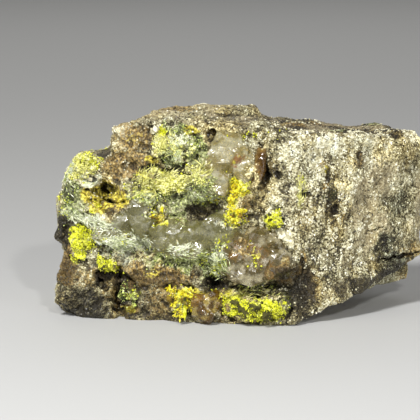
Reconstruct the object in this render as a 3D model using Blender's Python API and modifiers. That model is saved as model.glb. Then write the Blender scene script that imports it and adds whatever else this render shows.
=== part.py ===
"""A pottsite specimen: a broken block of grey rock with clear quartz and yellow pottsite on one face.

Units are metres. +Z is up, and the origin lies on the resting face, under the middle of the block.
+X runs along the block's length, and the mineralised face looks along -Y, turned a little to -X.
"""

import itertools
import math
import random

import bmesh
import bpy
from mathutils import Matrix, Vector

MM = 0.001

# Driving dimensions, in millimetres.
HEIGHT = 24.6
GAP = 0.3  # clearance between a mineral and its seat in the rock
FRONT_LEAN = 4.0  # degrees that the mineralised side leans back
SINK = 0.8  # how far the rough block reaches below the resting plane before it is cut flat

# The block from above, anticlockwise from the left end of the mineralised face. The first five corners are
# the side that faces -Y: the mineralised face, its granular end and the flank that turns away.
PLAN = [
    (-22.4, -7.2), (-9.0, -10.4), (6.5, -13.5), (13.5, -9.2), (23.4, 1.2),
    (21.4, 8.6), (9.0, 12.4), (-7.5, 13.5), (-18.5, 9.8), (-22.6, 2.5),
]
FRONT_CHAIN = PLAN[:5]

# Cleavage planes that trim the block: a point on the plane, and the direction of the side that is lost.
CLEAVAGES = {
    "top": ((-6.0, -8.0, 24.2), (0.04, 0.03, 1.0)),
    "top, falling to the right end": ((3.0, -8.0, 23.7), (0.125, 0.045, 1.0)),
    "top, falling to the back left": ((-11.0, -5.0, 24.1), (-0.26, 0.22, 1.0)),
    "upper edge of the back": ((0.0, 11.0, 21.5), (0.05, 0.8, 1.0)),
    "underside of the right end": ((6.8, -12.0, 0.0), (0.33, 0.05, -1.0)),
    "underside of the back": ((0.0, 10.5, 0.0), (-0.05, 0.8, -1.0)),
    "foot of the left end": ((-20.7, -7.0, 0.9), (-0.75, -0.35, -1.0)),
    "upper edge of the right end": ((23.2, 2.0, 21.0), (1.0, 0.1, 1.1)),
    "upper edge of the back left": ((-15.0, 9.0, 19.5), (-0.7, 0.9, 0.8)),
    "corner of the shoulder": ((-21.0, -7.0, 17.0), (-1.0, 0.0, 0.45)),
}

# Blocks taken off the corners or added as ledges: centre, size and turn about Z in degrees.
MISSING_CORNERS = {
    "upper left step": ((-20.7, 0.0, 23.7), (10.0, 36.0, 9.6), 3.0),
    "bevel above the step": ((-16.7, -4.0, 26.2), (4.4, 34.0, 6.2), -14.0),
    "notch in the back": ((15.5, 12.5, 16.0), (9.0, 5.0, 12.0), 20.0),
    "nick below the shoulder": ((-23.4, -3.5, 6.4), (3.4, 16.0, 5.2), 3.0),
}
LEDGES = {
    "back ridge, left": ((-6.9, 5.8, 21.5), (8.4, 5.0, 5.4), 8.0),
    "back ridge, right": ((-0.8, 6.0, 21.9), (7.6, 4.4, 5.2), -12.0),
    "back ridge, far right": ((17.2, 6.2, 20.5), (7.0, 3.0, 3.6), 14.0),
    "lump under the right end": ((16.9, 5.0, 3.6), (8.4, 6.0, 3.8), 35.0),
    "corner of the right end": ((19.1, 2.0, 20.1), (5.2, 4.8, 3.4), 46.4),
    "lower left lump": ((-18.4, -6.4, 3.5), (6.2, 4.6, 4.2), -8.0),
    "shelf of the left end": ((-18.2, -5.8, 15.2), (4.8, 3.4, 6.4), -12.0),
    "lip over the centre": ((-2.6, -9.6, 17.4), (8.0, 2.6, 2.6), -12.0),
    "lower band": ((-9.0, -9.0, 5.4), (13.0, 3.6, 2.6), -13.0),
}

# Hollows in the side that faces -Y: x, z, width, height and depth.
HOLLOWS = {
    "honeycombed pocket": (-16.7, 15.6, 2.2, 2.4, 2.6),
    "brow hollow, left": (-11.2, 18.5, 1.6, 1.1, 1.6),
    "brow hollow, right": (-7.2, 18.7, 2.4, 1.6, 2.1),
    "hole under the top edge": (-2.9, 22.2, 1.8, 1.6, 2.4),
    "shaded hollow": (-4.2, 13.4, 5.6, 2.2, 2.4),
    "lower left socket, outer": (-16.5, 4.4, 1.7, 1.9, 2.2),
    "lower left socket, inner": (-14.4, 5.3, 1.9, 1.5, 2.2),
    "split in the foot": (-14.6, 2.2, 1.5, 5.2, 2.8),
    "foot hollow": (-3.6, 4.4, 2.0, 3.2, 2.6),
    "undercut": (3.0, 4.4, 7.4, 1.8, 2.2),
    "dark dent": (8.2, 5.2, 3.6, 4.2, 1.2),
    "split beside the quartz": (2.4, 19.2, 1.6, 4.6, 1.8),
    "granular dent": (11.2, 14.0, 2.6, 4.2, 0.9),
    "crack in the flank": (17.0, 6.4, 7.0, 0.9, 1.8),
}

# Clear minerals: each is a mass of grown-together stones, given as x, z, width, height, depth and turn.
QUARTZ = {
    "quartz_band": [
        (-14.4, 11.6, 4.6, 4.0, 3.2, 10), (-11.4, 12.8, 4.4, 5.0, 3.8, -20), (-8.2, 10.4, 4.8, 4.4, 3.4, 30),
        (-4.8, 10.2, 4.6, 3.6, 3.4, 5), (-1.8, 11.6, 3.4, 3.2, 3.0, -35),
    ],
    "quartz_tip": [
        (-1.2, 20.4, 3.6, 4.4, 2.8, 15), (0.6, 18.8, 2.5, 4.6, 3.0, -12), (-2.6, 19.0, 2.8, 2.6, 2.6, 40),
        (-3.2, 17.2, 4.0, 2.4, 3.0, 12),
    ],
    "quartz_foot": [
        (-0.4, 8.6, 3.8, 4.4, 3.2, -10), (2.4, 9.0, 4.4, 5.0, 3.2, 25), (4.1, 8.2, 3.3, 3.4, 2.8, -30),
        (1.2, 6.8, 4.0, 2.6, 2.8, 8),
    ],
}
AMBER = {
    "amber_drop": [(-4.4, 1.9, 2.9, 2.6, 2.6, 20), (-3.4, 2.6, 1.8, 1.8, 2.0, -15)],
    "amber_blade": [(2.2, 18.9, 1.0, 3.9, 1.6, 16)],
}

# Pottsite crusts: x, z, width, height, how far the crust stands proud, and its number of lumps.
POTTSITE = {
    "pottsite_foot_crust": (2.1, 2.1, 7.6, 3.0, 1.5, 6),
    "pottsite_foot_tuft": (-7.0, 2.9, 3.4, 3.2, 1.2, 4),
    "pottsite_foot_nest": (-13.4, 3.0, 1.8, 2.8, 1.0, 2),
    "pottsite_left_patch": (-19.4, 9.2, 2.7, 3.8, 1.0, 3),
    "pottsite_low_left_patch": (-16.0, 6.7, 2.4, 1.6, 0.9, 2),
    "pottsite_shoulder_cap": (-18.5, 18.3, 2.8, 2.6, 1.0, 3),
    "pottsite_upper_band": (-8.9, 16.7, 6.4, 2.4, 1.3, 5),
    "pottsite_brow_crust": (-7.8, 20.8, 5.0, 3.4, 1.1, 5),
    "pottsite_seam": (-0.2, 15.0, 2.6, 5.6, 1.3, 4),
    "pottsite_fleck": (4.1, 12.7, 1.7, 1.8, 0.9, 2),
    "pottsite_hollow_fleck": (-9.5, 12.9, 1.7, 1.9, 2.0, 2),
}
# One long prism hangs out of the foot tuft: x and z of its root, radius and length.
NEEDLE = (-6.7, 3.0, 0.28, 1.8)
NEEDLE_HOST = "pottsite_foot_tuft"
NEEDLE_TILT = 8.0

ROCK_TRIANGLES = 3400
VOXEL = 0.45
MINERALISED_END = (3.0, 8.0)  # x over which the mineralised face gives way to the even-grained flank
FACE_DEPTH = -4.5  # y behind which the rock is the block's even-grained body
CRYSTALS_PER_LUMP = 0.8
SLIVER = 0.008  # points closer than this are merged where parts are joined
CRYSTAL_TIP = 0.45  # a crystal's tip, as a share of its length
# The directions to the faces and corners of a cube, along which a crust's seat is cut.
ALL_ROUND = [way for way in itertools.product((-1, 0, 1), repeat=3) if way.count(0) in (0, 2)]

# Colour, roughness and how much light passes through.
FINISHES = {
    "rock": ((0.33, 0.30, 0.25), 0.85, 0.0),
    "quartz": ((0.72, 0.75, 0.62), 0.15, 0.7),
    "amber": ((0.55, 0.26, 0.04), 0.25, 0.5),
    "pottsite": ((0.86, 0.80, 0.07), 0.5, 0.0),
}


def clear_scene():
    for obj in list(bpy.data.objects):
        bpy.data.objects.remove(obj)


def new_collection(name):
    collection = bpy.data.collections.new(name)
    bpy.context.scene.collection.children.link(collection)
    return collection


def new_object(name, bm, collection):
    """An object holding what bm holds, in millimetres there and in metres here."""
    bmesh.ops.scale(bm, vec=(MM, MM, MM), verts=bm.verts)
    mesh = bpy.data.meshes.new(name)
    bm.to_mesh(mesh)
    bm.free()
    obj = bpy.data.objects.new(name, mesh)
    collection.objects.link(obj)
    return obj


def hide(obj):
    """Makes obj a cutter or a helper, which is no part of the specimen."""
    obj.hide_render = True
    obj.display_type = "WIRE"


def settle(obj):
    """Gives obj the mesh that its modifiers make, and removes them."""
    bpy.context.view_layer.update()
    graph = bpy.context.evaluated_depsgraph_get()
    mesh = bpy.data.meshes.new_from_object(obj.evaluated_get(graph))
    obj.modifiers.clear()
    obj.data = mesh


def boolean(obj, other, operation):
    modifier = obj.modifiers.new(other.name, "BOOLEAN")
    modifier.operation = operation
    modifier.object = other
    hide(other)


def merge_slivers(obj):
    """Closes up the slivers that are left where parts of obj met."""
    bm = bmesh.new()
    bm.from_mesh(obj.data)
    bmesh.ops.triangulate(bm, faces=bm.faces)
    bmesh.ops.remove_doubles(bm, verts=bm.verts, dist=SLIVER * MM)
    bmesh.ops.dissolve_degenerate(bm, edges=bm.edges, dist=SLIVER * MM)
    bm.to_mesh(obj.data)
    bm.free()


def join_all(name, parts):
    """One body from parts that overlap."""
    joined = parts[0]
    joined.name = name
    for part in parts[1:]:
        boolean(joined, part, "UNION")
    settle(joined)
    merge_slivers(joined)
    for part in parts[1:]:
        bpy.data.objects.remove(part)
    return joined


def rough(obj, kind, grain, height, stretch=(1.0, 1.0, 1.0), where=""):
    """Pushes obj's surface in and out by height, in lumps of size grain, longer where stretch is over 1.

    where names a vertex group that keeps the roughness to a part of the surface."""
    texture = bpy.data.textures.new(f"{obj.name} {kind.lower()}", kind)
    texture.noise_scale = 1.0
    guide = bpy.data.objects.new(f"{texture.name} guide", None)
    bpy.context.scene.collection.objects.link(guide)
    guide.scale = [grain * MM * s for s in stretch]
    modifier = obj.modifiers.new(texture.name, "DISPLACE")
    modifier.texture = texture
    modifier.texture_coords = "OBJECT"
    modifier.texture_coords_object = guide
    modifier.strength = height * MM
    modifier.mid_level = 0.5
    modifier.vertex_group = where
    return texture


def even_out(obj):
    """Rebuilds obj's surface as one closed skin of small squares."""
    remesh = obj.modifiers.new("even mesh", "REMESH")
    remesh.mode = "VOXEL"
    remesh.voxel_size = VOXEL * MM


def smoothstep(low, high, value):
    share = min(1.0, max(0.0, (value - low) / (high - low)))
    return share * share * (3.0 - 2.0 * share)


def mark_mineralised(obj):
    """Adds the vertex group of the mineralised face, whose relief is rougher than the rest."""
    group = obj.vertex_groups.new(name="mineralised")
    for vert in obj.data.vertices:
        x, y, _ = vert.co / MM
        weight = (1.0 - smoothstep(*MINERALISED_END, x)) * (1.0 - smoothstep(FACE_DEPTH, FACE_DEPTH + 3.0, y))
        group.add([vert.index], weight, "REPLACE")


def front_frame(x, z, out=0.0):
    """A frame on the side that faces -Y, in millimetres: X along the side, Y into the rock, Z up."""
    for (x0, y0), (x1, y1) in zip(FRONT_CHAIN, FRONT_CHAIN[1:]):
        if x <= x1:
            break
    yaw = math.atan2(y1 - y0, x1 - x0)
    y = y0 + (y1 - y0) * (x - x0) / (x1 - x0) + math.tan(math.radians(FRONT_LEAN)) * z
    turn = Matrix.Rotation(yaw, 4, "Z") @ Matrix.Rotation(math.radians(-FRONT_LEAN), 4, "X")
    return Matrix.Translation((x, y, z)) @ turn @ Matrix.Translation((0.0, -out, 0.0))


def box(name, centre, size, turn, collection):
    bm = bmesh.new()
    bmesh.ops.create_cube(bm, size=1.0)
    bmesh.ops.scale(bm, vec=size, verts=bm.verts)
    place = Matrix.Translation(centre) @ Matrix.Rotation(math.radians(turn), 4, "Z")
    bmesh.ops.transform(bm, matrix=place, verts=bm.verts)
    return new_object(name, bm, collection)


def split_off(bm, point, outward):
    """Cuts bm's solid along a plane and drops the side that outward points to."""
    everything = bm.verts[:] + bm.edges[:] + bm.faces[:]
    cut = bmesh.ops.bisect_plane(bm, geom=everything, plane_co=point, plane_no=outward, clear_outer=True)
    rim = [item for item in cut["geom_cut"] if isinstance(item, bmesh.types.BMEdge)]
    if rim:
        bmesh.ops.contextual_create(bm, geom=rim)


def lean_back(bm):
    """Leans the side that faces -Y back as it rises."""
    slope = math.tan(math.radians(FRONT_LEAN))
    for vert in bm.verts:
        if vert.co.y < 0.0:
            vert.co.y += slope * vert.co.z


def broken_cube(seed, facets, nearest, farthest):
    """A cube 2 mm wide, broken down along planes nearest to farthest from its middle."""
    chance = random.Random(seed)
    bm = bmesh.new()
    bmesh.ops.create_cube(bm, size=2.0)
    for _ in range(facets):
        outward = Vector([chance.gauss(0.0, 1.0) for _ in range(3)]).normalized()
        split_off(bm, outward * chance.uniform(nearest, farthest), outward)
    return bm


def ledge(name, centre, size, turn, collection):
    """A ledge or lump of the rock: a block whose corners have broken away."""
    bm = broken_cube(name, 10, 1.0, 1.3)
    bmesh.ops.scale(bm, vec=Vector(size) / 2, verts=bm.verts)
    place = Matrix.Translation(centre) @ Matrix.Rotation(math.radians(turn), 4, "Z")
    bmesh.ops.transform(bm, matrix=place, verts=bm.verts)
    return new_object(name, bm, collection)


def rough_block(collection):
    """The block as it broke: the plan raised to its height and trimmed along the cleavage planes."""
    bm = bmesh.new()
    floor = [bm.verts.new((x, y, -SINK)) for x, y in PLAN]
    base = bm.faces.new(floor)
    raised = bmesh.ops.extrude_face_region(bm, geom=[base])["geom"]
    top = [item for item in raised if isinstance(item, bmesh.types.BMVert)]
    bmesh.ops.translate(bm, vec=(0.0, 0.0, HEIGHT + 2 * SINK), verts=top)
    lean_back(bm)
    bmesh.ops.recalc_face_normals(bm, faces=bm.faces)
    for point, outward in CLEAVAGES.values():
        split_off(bm, point, outward)
    bmesh.ops.triangulate(bm, faces=bm.faces)
    return new_object("rock_matrix", bm, collection)


def hollow(name, size, collection):
    x, z, width, height, depth = size
    bm = bmesh.new()
    bmesh.ops.create_icosphere(bm, subdivisions=2, radius=1.0)
    bmesh.ops.scale(bm, vec=(width / 2, depth, height / 2), verts=bm.verts)
    bmesh.ops.transform(bm, matrix=front_frame(x, z), verts=bm.verts)
    return new_object(name, bm, collection)


def rock(collection, cutters):
    """The matrix: the block with its ledges and hollows, weathered and cut flat underneath."""
    block = rough_block(collection)
    for name, (centre, size, turn) in MISSING_CORNERS.items():
        boolean(block, box(name, centre, size, turn, cutters), "DIFFERENCE")
    for name, (centre, size, turn) in LEDGES.items():
        boolean(block, ledge(name, centre, size, turn, cutters), "UNION")
    for name, size in HOLLOWS.items():
        boolean(block, hollow(name, size, cutters), "DIFFERENCE")
    even_out(block)
    settle(block)
    mark_mineralised(block)
    rough(block, "CLOUDS", 6.0, 1.2)
    rough(block, "CLOUDS", 2.6, 2.0, stretch=(1.5, 1.0, 0.8), where="mineralised")
    rough(block, "CLOUDS", 2.0, 0.7, stretch=(2.2, 2.2, 0.6))
    chips = rough(block, "VORONOI", 2.4, 0.8)
    chips.distance_metric = "DISTANCE_SQUARED"
    even_out(block)
    settle(block)
    thin = block.modifiers.new("fewer faces", "DECIMATE")
    thin.ratio = ROCK_TRIANGLES / (2 * len(block.data.polygons))
    floor = box("ground", (0.0, 0.0, -5.0), (80.0, 80.0, 10.0), 0.0, cutters)
    boolean(block, floor, "DIFFERENCE")
    settle(block)
    return block


def stone(name, size, collection):
    """A glassy stone, which fractured along planes that lie round an ellipsoid."""
    x, z, width, height, depth, turn = size
    bm = broken_cube(name, 9, 0.86, 0.98)
    bmesh.ops.scale(bm, vec=(width / 2, depth / 2, height / 2), verts=bm.verts)
    bmesh.ops.rotate(bm, matrix=Matrix.Rotation(math.radians(turn), 3, "Y"), verts=bm.verts)
    bmesh.ops.transform(bm, matrix=front_frame(x, z), verts=bm.verts)
    bmesh.ops.triangulate(bm, faces=bm.faces)
    return new_object(name, bm, collection)


def stone_mass(name, stones, collection, cutters):
    """Stones grown together into one body, and the cutters for the seats that they need."""
    parts = [stone(f"{name} {i}", size, collection) for i, size in enumerate(stones)]
    seats = [seat_cutter(part, [face.normal for face in part.data.polygons], cutters) for part in parts]
    return join_all(name, parts), seats


def crystal(name, radius, length, place, collection):
    """A four-sided prism with a pyramid for its tip, standing along the Z axis of place."""
    bm = bmesh.new()
    bmesh.ops.create_cone(bm, cap_ends=True, segments=4, radius1=radius, radius2=radius, depth=length)
    bm.faces.ensure_lookup_table()
    end = max(bm.faces, key=lambda face: face.calc_center_median().z)
    drawn = bmesh.ops.extrude_face_region(bm, geom=[end])["geom"]
    bmesh.ops.delete(bm, geom=[end], context="FACES_ONLY")
    ring = [item for item in drawn if isinstance(item, bmesh.types.BMVert)]
    tip = Vector((0.0, 0.0, length * (0.5 + CRYSTAL_TIP)))
    bmesh.ops.pointmerge(bm, verts=ring, merge_co=tip)
    bmesh.ops.transform(bm, matrix=place, verts=bm.verts)
    bmesh.ops.recalc_face_normals(bm, faces=bm.faces)
    return new_object(name, bm, collection)


def lump(name, x, z, across, up, radii, collection):
    """One lump of a crust: a rough ball, flattened and half sunk in the rock."""
    bm = bmesh.new()
    bmesh.ops.create_uvsphere(bm, u_segments=7, v_segments=4, radius=1.0)
    bmesh.ops.scale(bm, vec=radii, verts=bm.verts)
    bmesh.ops.transform(bm, matrix=front_frame(x, z) @ Matrix.Translation((across, 0.0, up)), verts=bm.verts)
    made = new_object(name, bm, collection)
    rough(made, "CLOUDS", 0.8, 0.6)
    settle(made)
    return made


def in_ellipse(chance, reach):
    """A place in the unit circle, at most reach from its middle."""
    bearing = chance.uniform(0.0, 2.0 * math.pi)
    radius = math.sqrt(chance.uniform(0.0, reach**2))
    return radius * math.cos(bearing), radius * math.sin(bearing)


def crust(name, size, collection, cutters):
    """A pottsite crust: lumps grown together, with crystals standing out of them, and its seat's cutter."""
    x, z, width, height, proud, lumps = size
    chance = random.Random(name)
    spread = 1.0 / math.sqrt(lumps)
    parts = []
    for i in range(lumps):
        u = (2 * i + 1) / lumps - 1.0
        _, v = in_ellipse(chance, 0.6)
        radii = (
            max(0.75, spread * width * chance.uniform(0.42, 0.62)),
            proud * chance.uniform(0.75, 1.0),
            max(0.6, spread * height * chance.uniform(0.7, 0.9)),
        )
        across = u * (width / 2 - 0.6 * radii[0])
        up = v * (height / 2 - 0.5 * radii[2])
        if width < height:
            across = v * (width / 2 - 0.5 * radii[0])
            up = u * (height / 2 - 0.6 * radii[2])
        parts.append(lump(f"{name} lump {i}", x, z, across, up, radii, collection))
    for i in range(round(lumps * CRYSTALS_PER_LUMP)):
        u, v = in_ellipse(chance, 0.8)
        out = proud * math.sqrt(1.0 - u * u - v * v) * 0.8
        tilt = Vector((u * 0.8, -0.7, v * 0.8)) + Vector([chance.uniform(-0.4, 0.4) for _ in range(3)])
        aim = tilt.to_track_quat("Z", "Y").to_matrix().to_4x4()
        place = front_frame(x, z) @ Matrix.Translation((u * width / 2, -out, v * height / 2)) @ aim
        radius = chance.uniform(0.22, 0.42)
        parts.append(crystal(f"{name} crystal {i}", radius, radius * chance.uniform(2.0, 3.2), place, collection))
    if name == NEEDLE_HOST:
        parts.append(needle(collection))
    body = join_all(name, parts)
    sides = front_frame(x, z).to_3x3()
    normals = [sides @ Vector((a / width, b / (2 * proud), c / height)) for a, b, c in ALL_ROUND]
    return body, [seat_cutter(body, normals, cutters)]


def needle(collection):
    x, z, radius, length = NEEDLE
    down = Matrix.Rotation(math.radians(180.0 - NEEDLE_TILT), 4, "X")
    place = front_frame(x, z, out=1.3) @ down @ Matrix.Translation((0.0, 0.0, length / 2))
    return crystal("needle", radius, length, place, collection)


def seat_cutter(body, normals, cutters):
    """A block cut down round body, with one plane for each of normals, the gap away. It cuts body's seat."""
    points = [vert.co / MM for vert in body.data.vertices]
    bm = bmesh.new()
    bmesh.ops.create_cube(bm, size=40.0)
    bmesh.ops.translate(bm, vec=points[0], verts=bm.verts)
    cut = []
    for normal in normals:
        outward = normal.normalized()
        if any(outward.dot(earlier) > 0.999 for earlier in cut):
            continue
        cut.append(outward)
        split_off(bm, outward * (max(outward.dot(point) for point in points) + GAP), outward)
    cutter = new_object(f"{body.name} seat", bm, cutters)
    hide(cutter)
    return cutter


def near(first, second):
    """Whether the boxes round two objects meet."""
    boxes = []
    for obj in (first, second):
        corners = [Vector(corner) for corner in obj.bound_box]
        boxes.append((corners[0], corners[6]))
    (low_a, high_a), (low_b, high_b) = boxes
    return all(low_a[i] <= high_b[i] and low_b[i] <= high_a[i] for i in range(3))


def material(name):
    colour, roughness, clear = FINISHES[name]
    made = bpy.data.materials.new(name)
    made.use_nodes = True
    shader = made.node_tree.nodes["Principled BSDF"]
    shader.inputs["Base Color"].default_value = (*colour, 1.0)
    shader.inputs["Roughness"].default_value = roughness
    shader.inputs["Metallic"].default_value = 0.0
    shader.inputs["Transmission Weight"].default_value = clear
    made.diffuse_color = (*colour, 1.0)
    return made


def main():
    clear_scene()
    specimen = new_collection("pottsite specimen")
    cutters = new_collection("cutters")
    block = rock(specimen, cutters)
    block.data.materials.clear()
    block.data.materials.append(material("rock"))
    groups = [("pottsite", POTTSITE, crust), ("amber", AMBER, stone_mass), ("quartz", QUARTZ, stone_mass)]
    taken = []
    for finish, sizes, grow in groups:
        paint = material(finish)
        for name, size in sizes.items():
            mineral, seats = grow(name, size, specimen, cutters)
            mineral.data.materials.clear()
            mineral.data.materials.append(paint)
            for seat in taken:
                if near(mineral, seat):
                    boolean(mineral, seat, "DIFFERENCE")
            for seat in seats:
                boolean(block, seat, "DIFFERENCE")
            taken += seats


if __name__ == "__main__":
    main()
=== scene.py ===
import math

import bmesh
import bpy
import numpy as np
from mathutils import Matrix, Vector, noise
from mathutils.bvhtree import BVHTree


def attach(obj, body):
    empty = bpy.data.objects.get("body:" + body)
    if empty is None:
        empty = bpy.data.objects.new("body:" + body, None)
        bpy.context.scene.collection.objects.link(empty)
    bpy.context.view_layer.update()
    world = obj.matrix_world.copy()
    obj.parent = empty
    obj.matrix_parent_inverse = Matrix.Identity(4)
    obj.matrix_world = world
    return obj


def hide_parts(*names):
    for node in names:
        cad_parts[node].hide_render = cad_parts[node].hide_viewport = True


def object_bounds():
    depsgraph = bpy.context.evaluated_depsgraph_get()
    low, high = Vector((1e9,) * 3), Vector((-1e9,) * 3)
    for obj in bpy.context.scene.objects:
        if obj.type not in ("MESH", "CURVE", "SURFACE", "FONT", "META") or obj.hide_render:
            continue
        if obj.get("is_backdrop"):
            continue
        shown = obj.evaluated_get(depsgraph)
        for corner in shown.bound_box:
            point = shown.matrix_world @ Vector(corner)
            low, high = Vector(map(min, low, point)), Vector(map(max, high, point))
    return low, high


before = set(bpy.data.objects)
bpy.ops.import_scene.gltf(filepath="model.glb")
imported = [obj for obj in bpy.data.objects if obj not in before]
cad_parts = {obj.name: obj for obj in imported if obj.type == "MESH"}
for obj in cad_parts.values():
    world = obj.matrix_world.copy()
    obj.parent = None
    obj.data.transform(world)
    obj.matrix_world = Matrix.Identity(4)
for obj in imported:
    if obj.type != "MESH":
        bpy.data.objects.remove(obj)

# %% [markdown]
# # A pottsite specimen
# A fist-sized stone this is not: the whole block is about 46 mm long. One side carries clear quartz, amber
# grains and lemon yellow pottsite. The frame holds plain solids for the rock and each mineral. This script
# makes the surfaces a collector would see: broken rock with its grains, glassy fractures and crusts of tiny
# crystals. Blender works in metres, and MM turns the millimetres that a mineral dealer thinks in into metres.

MM = 0.001
cad_low, cad_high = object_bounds()
print("the solids measure", [round((b - a) / MM, 1) for a, b in zip(cad_low, cad_high)], "mm")

# %% [markdown]
# ## The table, the light and the camera
# A specimen is shown on a plain pale table, under soft light from large panels. A large panel close to a small
# stone wraps round it, and one smaller, brighter lamp gives the sparkle that tells crystal from clay. The
# camera stands far off with a long lens, which is how small specimens are shown without distortion.

# %% Table
def set_up(thing, settings):
    """Gives a modifier, a texture or a node its settings."""
    for key, value in settings.items():
        setattr(thing, key, value)
    return thing


def pick(obj, *others):
    """Selects obj and the others alone, and makes obj the one that operators work on."""
    bpy.ops.object.select_all(action="DESELECT")
    for piece in (obj, *others):
        piece.select_set(True)
    bpy.context.view_layer.objects.active = obj


def new_object(add, **settings):
    """Adds an object with one of Blender's own operators, after deselecting the rest."""
    bpy.ops.object.select_all(action="DESELECT")
    add(**settings)
    return bpy.context.object


def new_finish(name, plain):
    """A new material with plain values on its shader. The node helpers further down add to the newest one."""
    global tree, shader
    finish = bpy.data.materials.new(name)
    finish.use_nodes = True
    tree = finish.node_tree
    shader = tree.nodes["Principled BSDF"].inputs
    for key, value in plain.items():
        shader[key].default_value = value
    return finish


table = new_object(bpy.ops.mesh.primitive_plane_add, size=3.0, location=(0.0, 0.6, 0.0))
table.name = "table"
table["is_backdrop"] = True
table.data.materials.append(new_finish("pale table", {"Base Color": (0.5, 0.5, 0.49, 1.0), "Roughness": 0.7}))

# %% Light
world = bpy.data.worlds.new("studio")
bpy.context.scene.world = world
world.use_nodes = True
room = world.node_tree.nodes["Background"].inputs
room["Color"].default_value, room["Strength"].default_value = (0.86, 0.85, 0.83, 1.0), 0.22
bpy.context.scene.view_settings.view_transform = "Standard"


def panel(name, place, size, watts, aim=(-2, -8, 12)):
    """A square light panel that faces aim. Places and its size are in millimetres."""
    lamp = new_object(bpy.ops.object.light_add, type="AREA", location=Vector(place) * MM)
    lamp.name = name
    lamp.data.size = size * MM
    lamp.data.energy = watts
    lamp.rotation_euler = (Vector(aim) - Vector(place)).to_track_quat("-Z", "Y").to_euler()


panel("key panel", (-120, -230, 270), 55, 1.42)
panel("fill panel", (200, -260, 60), 170, 0.36)
panel("left panel", (-260, -160, 90), 160, 0.22)
panel("sparkle lamp", (60, -270, 160), 16, 0.35)
panel("floor panel", (0, 430, 300), 400, 0.4, aim=(0, 420, 0))

# %% Camera
AIM = Vector((-3.5, -10.0, 13.6))
RISE = math.radians(9.0)
REACH = 270.0
LENS, SENSOR = 192.86, 36.0
eye = AIM + REACH * Vector((0.0, -math.cos(RISE), math.sin(RISE)))
camera = new_object(bpy.ops.object.camera_add, location=eye * MM)
camera.data.lens, camera.data.sensor_width, camera.data.clip_start = LENS, SENSOR, 0.01
camera.rotation_euler = (AIM - eye).to_track_quat("-Z", "Y").to_euler()
bpy.context.scene.camera = camera
print("camera", round(LENS), "mm lens,", round(REACH), "mm away")

# %% [markdown]
# ## Copies of the solids
# Each visible surface starts as a copy of its solid. A solid comes in as loose triangles, so its copy is merged
# first. The mineralised side is a chain of four upright planes that lean back a little, so a spot on it is
# named by two numbers: x along it and z up it.

# %% Helpers for copies and modifiers
def linked(name, data):
    """A new object in the scene that shows data."""
    obj = bpy.data.objects.new(name, data)
    bpy.context.scene.collection.objects.link(obj)
    return obj


def loose_copy(node, name):
    """A merged copy of a solid, ready for modifiers."""
    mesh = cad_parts[node].data.copy()
    mesh.name = name
    obj = linked(name, mesh)
    pick(obj)
    bpy.ops.object.mode_set(mode="EDIT")
    bpy.ops.mesh.select_all(action="SELECT")
    bpy.ops.mesh.remove_doubles(threshold=0.002 * MM)
    bpy.ops.object.mode_set(mode="OBJECT")
    mesh.materials.clear()
    return obj


def change(obj, kind, **settings):
    """Adds a modifier with its settings."""
    set_up(obj.modifiers.new(kind, kind), settings)


def apply_all(obj):
    pick(obj)
    for modifier in list(obj.modifiers):
        bpy.ops.object.modifier_apply(modifier=modifier.name)


def swell(obj, thickness):
    """Grows obj outwards by a thickness in millimetres."""
    change(obj, "DISPLACE", strength=thickness * MM, mid_level=0.0)


def remesh(obj, size):
    """Rebuilds obj as one closed skin of squares, size millimetres wide."""
    change(obj, "REMESH", mode="VOXEL", voxel_size=size * MM)


def bumps(obj, kind, grain, height, stretch=(1.0, 1.0, 1.0), group="", middle=0.5, **settings):
    """Pushes obj in and out by height in lumps of size grain, both in millimetres."""
    texture = set_up(bpy.data.textures.new(f"{obj.name} {kind}", kind), {"noise_scale": 1.0, **settings})
    guide = linked(f"{obj.name} guide", None)
    guide.scale = [grain * MM * s for s in stretch]
    guide.hide_render = True
    change(
        obj, "DISPLACE", texture=texture, texture_coords="OBJECT", texture_coords_object=guide,
        strength=height * MM, mid_level=middle, vertex_group=group,
    )


def thin_out(obj, triangles, group=""):
    """Lowers obj to about that many triangles, which leaves irregular facets."""
    apply_all(obj)
    ratio = min(1.0, triangles / (2.0 * len(obj.data.polygons)))
    change(obj, "DECIMATE", ratio=ratio, vertex_group=group)
    apply_all(obj)


def facet_above(obj, least):
    """Flat facets, with no point lower than least millimetres."""
    for vertex in obj.data.vertices:
        vertex.co.z = max(vertex.co.z, least * MM)
    obj.data.shade_flat()


# %% Places on the mineralised side
FRONT_CHAIN = [(-22.4, -7.2), (-9.0, -10.4), (6.5, -13.5), (13.5, -9.2), (23.4, 1.2)]
LEAN = math.tan(math.radians(4.0))


def front_depth(x, z):
    """How far back the mineralised side lies at x and z, in millimetres. Arrays work too."""
    xs, ys = zip(*FRONT_CHAIN)
    return np.interp(x, xs, ys) + LEAN * np.asarray(z)


def behind_side(places):
    """How far behind the mineralised side each place lies."""
    return places[:, 1] - front_depth(places[:, 0], places[:, 2])


print("the side's middle lies at y", round(float(front_depth(0.0, 12.0)), 2), "mm")

# %% [markdown]
# ## The rock's skin
# The block is a granular rock: a quiet, sugary texture at the right end, and a deeply etched, honeycombed
# surface at the mineralised end. The copy is rebuilt as fine even squares, pushed in and out at several scales
# and thinned to facets, so that the small faces catch the light one by one as broken grains do. The yellow
# crusts grow on the rock, so swollen copies of their solids are joined in before the skin is made.

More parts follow.
